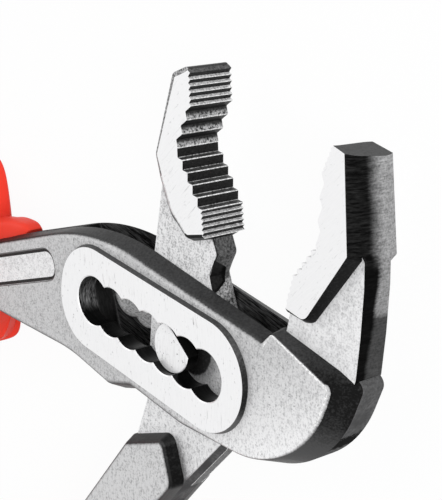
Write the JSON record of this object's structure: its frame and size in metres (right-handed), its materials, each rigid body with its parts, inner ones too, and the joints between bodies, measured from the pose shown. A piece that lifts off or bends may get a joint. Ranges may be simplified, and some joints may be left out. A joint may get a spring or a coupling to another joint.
{
  "type": "water pump pliers",
  "caption": "Box-joint water pump pliers with toothed jaws, a slotted pivot with a D-shaped bolt, and insulated sleeves with slip guards on both handles.",
  "frame": {"origin": "on the pivot axis, in the plane of the rear boss face", "axes": "+X along the slot towards the head, +Y towards the jaws, +Z out of the face that the picture shows"},
  "size_m": [0.2297, 0.2467, 0.021],
  "materials": {
    "forged_steel": "satin",
    "bolt_steel": "ground",
    "red_sleeve": "gloss"
  },
  "bodies": {
    "outer_half": {"outer_limb": "forged_steel", "outer_grip": "red_sleeve"},
    "inner_half": {"inner_limb": "forged_steel", "pivot_bolt": "bolt_steel", "inner_grip": "red_sleeve"}
  },
  "joints": [
    {"name": "limb_pivot", "type": "hinge", "parent": "outer_half", "child": "inner_half", "pos_m": [0, 0, 0.0071], "axis": [0, 0, 1], "range_deg": [-28, 33]}
  ]
}
